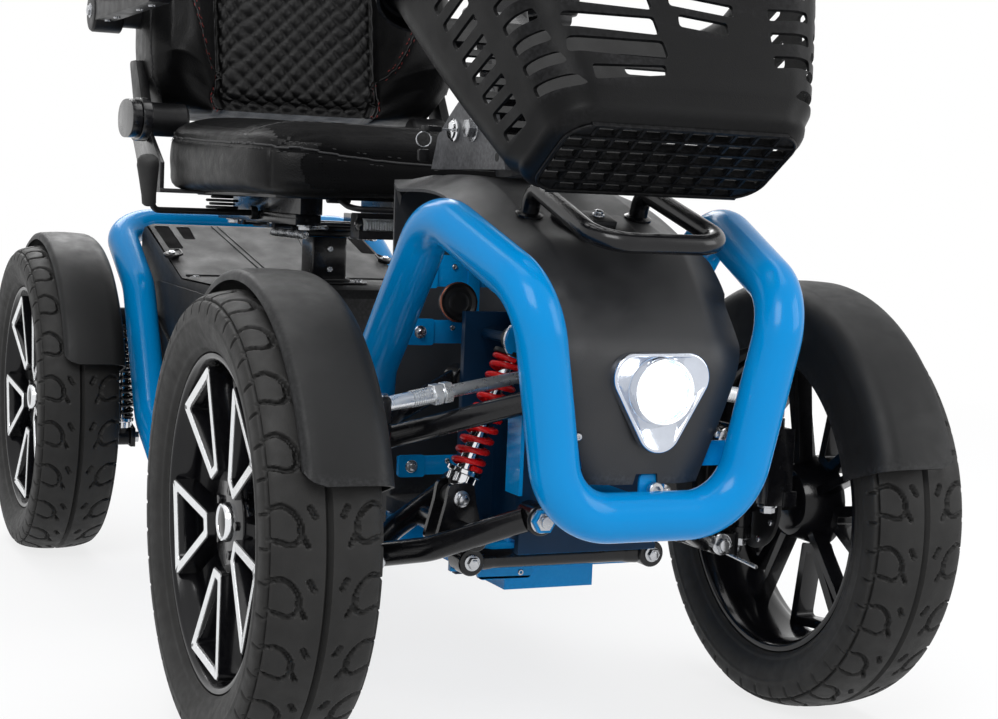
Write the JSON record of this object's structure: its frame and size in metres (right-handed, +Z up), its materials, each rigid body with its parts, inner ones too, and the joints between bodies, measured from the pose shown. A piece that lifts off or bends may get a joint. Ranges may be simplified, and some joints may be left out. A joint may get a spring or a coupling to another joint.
{
  "type": "all-terrain mobility scooter",
  "caption": "All-terrain mobility scooter with tubular frame, sprung wheels steered by a tiller, front basket and a padded swivel seat.",
  "frame": {"origin": "middle of the scooter's bounding box, on the ground", "axes": "+Z up; the scooter faces -Y, so +Y is its rear; +X is the rider's left"},
  "size_m": [0.66, 1.36, 1.1233],
  "materials": {
    "frame_blue": "gloss powder coat",
    "black_metal": "satin black paint",
    "grey_metal": "grey powder coat",
    "spring_red": "gloss red coat",
    "rim_black": "gloss black paint",
    "steel": "bright steel",
    "chrome": "chrome plate",
    "cover_charcoal": "fine grain",
    "black_plastic": "fine grain",
    "leather": "soft leatherette",
    "tyre_rubber": "matt rubber",
    "lamp": "clear lens"
  },
  "bodies": {
    "root": {"chassis_frame": "frame_blue", "front_hoop": "frame_blue", "rear_hoop": "frame_blue", "front_cover": "cover_charcoal", "headlight": "lamp", "grab_loop": "black_metal", "cross_link": "black_metal", "foot_deck": "black_plastic", "rear_cover": "cover_charcoal", "battery_pack": "black_plastic", "rear_left_shock_rod": "steel", "rear_left_spring": "black_metal", "rear_right_shock_rod": "steel", "rear_right_spring": "black_metal"},
    "right_lower_arm": {"right_lower_arm": "black_metal"},
    "right_upper_arm": {"right_upper_arm": "black_metal"},
    "right_upright": {"right_upright": "black_metal"},
    "right_knuckle": {"right_knuckle": "black_metal", "front_right_fender": "black_plastic"},
    "front_right_wheel": {"front_right_rim": "rim_black", "front_right_tyre": "tyre_rubber"},
    "right_tie_rod": {"right_tie_rod": "chrome"},
    "front_right_shock": {"front_right_shock_rod": "steel", "front_right_spring": "spring_red"},
    "front_right_shock_body": {"front_right_shock_body": "black_metal"},
    "left_lower_arm": {"left_lower_arm": "black_metal"},
    "left_upper_arm": {"left_upper_arm": "black_metal"},
    "left_upright": {"left_upright": "black_metal"},
    "left_knuckle": {"left_knuckle": "black_metal", "front_left_fender": "black_plastic"},
    "front_left_wheel": {"front_left_rim": "rim_black", "front_left_tyre": "tyre_rubber"},
    "left_tie_rod": {"left_tie_rod": "chrome"},
    "front_left_shock": {"front_left_shock_rod": "steel", "front_left_spring": "spring_red"},
    "front_left_shock_body": {"front_left_shock_body": "black_metal"},
    "rear_axle": {"rear_axle": "black_metal", "rear_left_fender": "black_plastic", "rear_right_fender": "black_plastic"},
    "rear_right_wheel": {"rear_right_rim": "rim_black", "rear_right_tyre": "tyre_rubber"},
    "rear_right_shock_body": {"rear_right_shock_body": "black_metal"},
    "rear_left_wheel": {"rear_left_rim": "rim_black", "rear_left_tyre": "tyre_rubber"},
    "rear_left_shock_body": {"rear_left_shock_body": "black_metal"},
    "tiller": {"tiller_base": "grey_metal"},
    "tiller_head": {"tiller_stem": "black_metal", "console": "black_plastic", "basket": "black_plastic"},
    "key": {"key": "black_plastic"},
    "throttle": {"throttle_lever": "black_plastic"},
    "seat_base": {"seat_swivel": "black_metal"},
    "seat": {"seat_frame": "black_metal", "cushion": "leather", "seat_lamp": "lamp"},
    "back": {"backrest": "leather"},
    "right_armrest": {"right_armrest": "black_plastic"},
    "left_armrest": {"left_armrest": "black_plastic"},
    "swivel_lever": {"swivel_lever": "black_plastic"},
    "recline_lever": {"recline_lever": "black_plastic"}
  },
  "joints": [
    {"name": "right_suspension", "type": "hinge", "parent": "root", "child": "right_lower_arm", "pos_m": [-0.06, -0.445, 0.213], "axis": [0, 1, 0], "range_deg": [0, 10], "stiffness_Nm_per_rad": 120, "springref_deg": -8.59},
    {"name": "right_upper_arm_pivot", "type": "hinge", "parent": "root", "child": "right_upper_arm", "pos_m": [-0.06, -0.445, 0.315], "axis": [0, 1, 0], "range_deg": [0, 10]},
    {"name": "right_upright_joint", "type": "hinge", "parent": "right_lower_arm", "child": "right_upright", "pos_m": [-0.177, -0.445, 0.165], "axis": [0, 1, 0], "range_deg": [-10, 0]},
    {"name": "right_kingpin", "type": "hinge", "parent": "right_upright", "child": "right_knuckle", "pos_m": [-0.21, -0.445, 0.2], "axis": [0, 0, 1], "range_deg": [-20, 20]},
    {"name": "front_right_axle", "type": "hinge", "parent": "right_knuckle", "child": "front_right_wheel", "pos_m": [-0.28, -0.445, 0.2], "axis": [1, 0, 0], "continuous": true},
    {"name": "right_tie_rod_push", "type": "slide", "parent": "right_upright", "child": "right_tie_rod", "axis": [1, 0, 0], "range_m": [-0.0245, 0.0245]},
    {"name": "front_right_shock_pivot", "type": "hinge", "parent": "root", "child": "front_right_shock", "pos_m": [-0.0473, -0.467, 0.36], "axis": [0, 1, 0], "range_deg": [0, 0.605]},
    {"name": "front_right_shock_travel", "type": "slide", "parent": "front_right_shock", "child": "front_right_shock_body", "axis": [0.3657, 0, 0.9308], "range_m": [0, 0.0074], "deforming": ["front_right_spring"]},
    {"name": "left_suspension", "type": "hinge", "parent": "root", "child": "left_lower_arm", "pos_m": [0.06, -0.445, 0.213], "axis": [0, -1, 0], "range_deg": [0, 10], "stiffness_Nm_per_rad": 120, "springref_deg": -8.59},
    {"name": "left_upper_arm_pivot", "type": "hinge", "parent": "root", "child": "left_upper_arm", "pos_m": [0.06, -0.445, 0.315], "axis": [0, -1, 0], "range_deg": [0, 10]},
    {"name": "left_upright_joint", "type": "hinge", "parent": "left_lower_arm", "child": "left_upright", "pos_m": [0.177, -0.445, 0.165], "axis": [0, -1, 0], "range_deg": [-10, 0]},
    {"name": "left_kingpin", "type": "hinge", "parent": "left_upright", "child": "left_knuckle", "pos_m": [0.21, -0.445, 0.2], "axis": [0, 0, 1], "range_deg": [-20, 20]},
    {"name": "front_left_axle", "type": "hinge", "parent": "left_knuckle", "child": "front_left_wheel", "pos_m": [0.28, -0.445, 0.2], "axis": [1, 0, 0], "continuous": true},
    {"name": "left_tie_rod_push", "type": "slide", "parent": "left_upright", "child": "left_tie_rod", "axis": [1, 0, 0], "range_m": [-0.0245, 0.0245]},
    {"name": "front_left_shock_pivot", "type": "hinge", "parent": "root", "child": "front_left_shock", "pos_m": [0.0473, -0.467, 0.36], "axis": [0, -1, 0], "range_deg": [0, 0.605]},
    {"name": "front_left_shock_travel", "type": "slide", "parent": "front_left_shock", "child": "front_left_shock_body", "axis": [-0.3657, 0, 0.9308], "range_m": [0, 0.0074], "deforming": ["front_left_spring"]},
    {"name": "rear_suspension", "type": "hinge", "parent": "root", "child": "rear_axle", "pos_m": [0, 0.255, 0.165], "axis": [1, 0, 0], "range_deg": [0, 8], "stiffness_Nm_per_rad": 900, "springref_deg": -5.73},
    {"name": "rear_right_axle", "type": "hinge", "parent": "rear_axle", "child": "rear_right_wheel", "pos_m": [-0.28, 0.48, 0.2], "axis": [1, 0, 0], "continuous": true},
    {"name": "rear_right_shock_travel", "type": "slide", "parent": "root", "child": "rear_right_shock_body", "axis": [0, 0, 1], "range_m": [0, 0.0265], "deforming": ["rear_right_spring"]},
    {"name": "rear_left_axle", "type": "hinge", "parent": "rear_axle", "child": "rear_left_wheel", "pos_m": [0.28, 0.48, 0.2], "axis": [1, 0, 0], "continuous": true},
    {"name": "rear_left_shock_travel", "type": "slide", "parent": "root", "child": "rear_left_shock_body", "axis": [0, 0, 1], "range_m": [0, 0.0265], "deforming": ["rear_left_spring"]},
    {"name": "tiller_steer", "type": "hinge", "parent": "root", "child": "tiller", "pos_m": [0, -0.345, 0.53], "axis": [0, 0.342, 0.9397], "range_deg": [-20, 20]},
    {"name": "tiller_tilt", "type": "hinge", "parent": "tiller", "child": "tiller_head", "pos_m": [0, -0.33748, 0.55067], "axis": [-1, 0, 0], "range_deg": [0, 25]},
    {"name": "key_turn", "type": "hinge", "parent": "tiller", "child": "key", "pos_m": [-0.042, -0.295, 0.55], "axis": [-1, 0, 0], "range_deg": [0, 60]},
    {"name": "throttle_squeeze", "type": "hinge", "parent": "tiller_head", "child": "throttle", "pos_m": [-0.07, -0.11659, 0.94703], "axis": [0, 0.342, 0.9397], "range_deg": [0, 12], "stiffness_Nm_per_rad": 0.1, "springref_deg": -17.19},
    {"name": "seat_turn", "type": "hinge", "parent": "root", "child": "seat_base", "pos_m": [0, 0.21, 0.43], "axis": [0, 0, 1], "range_deg": [-90, 90]},
    {"name": "seat_slide", "type": "slide", "parent": "seat_base", "child": "seat", "axis": [0, 1, 0], "range_m": [0, 0.08]},
    {"name": "seat_recline", "type": "hinge", "parent": "seat", "child": "back", "pos_m": [0, 0.325, 0.562], "axis": [-1, 0, 0], "range_deg": [0, 35]},
    {"name": "right_armrest_lift", "type": "hinge", "parent": "back", "child": "right_armrest", "pos_m": [-0.22, 0.39, 0.7], "axis": [-1, 0, 0], "range_deg": [0, 90]},
    {"name": "left_armrest_lift", "type": "hinge", "parent": "back", "child": "left_armrest", "pos_m": [0.22, 0.39, 0.7], "axis": [-1, 0, 0], "range_deg": [0, 90]},
    {"name": "swivel_lever_lift", "type": "hinge", "parent": "seat_base", "child": "swivel_lever", "pos_m": [-0.1003, 0.17, 0.456], "axis": [-1, 0, 0], "range_deg": [0, 12], "stiffness_Nm_per_rad": 0.5, "springref_deg": -17.19},
    {"name": "recline_lever_lift", "type": "hinge", "parent": "seat", "child": "recline_lever", "pos_m": [-0.213, 0.265, 0.552], "axis": [-1, 0, 0], "range_deg": [0, 25], "stiffness_Nm_per_rad": 0.5, "springref_deg": -22.92}
  ],
  "couplings": [
    {"joint": "right_upper_arm_pivot", "follows": "right_suspension", "ratio": 1},
    {"joint": "right_upright_joint", "follows": "right_suspension", "ratio": -1},
    {"joint": "right_kingpin", "follows": "tiller_steer", "ratio": 1},
    {"joint": "right_tie_rod_push", "follows": "tiller_steer", "m_per_rad": 0.07},
    {"joint": "front_right_shock_pivot", "follows": "right_suspension", "ratio": 0.05951},
    {"joint": "front_right_shock_travel", "follows": "right_suspension", "m_per_rad": 0.04193},
    {"joint": "left_upper_arm_pivot", "follows": "left_suspension", "ratio": 1},
    {"joint": "left_upright_joint", "follows": "left_suspension", "ratio": -1},
    {"joint": "left_kingpin", "follows": "tiller_steer", "ratio": 1},
    {"joint": "left_tie_rod_push", "follows": "tiller_steer", "m_per_rad": 0.07},
    {"joint": "front_left_shock_pivot", "follows": "left_suspension", "ratio": 0.05951},
    {"joint": "front_left_shock_travel", "follows": "left_suspension", "m_per_rad": 0.04193},
    {"joint": "rear_right_shock_travel", "follows": "rear_suspension", "m_per_rad": 0.189},
    {"joint": "rear_left_shock_travel", "follows": "rear_suspension", "m_per_rad": 0.189}
  ]
}
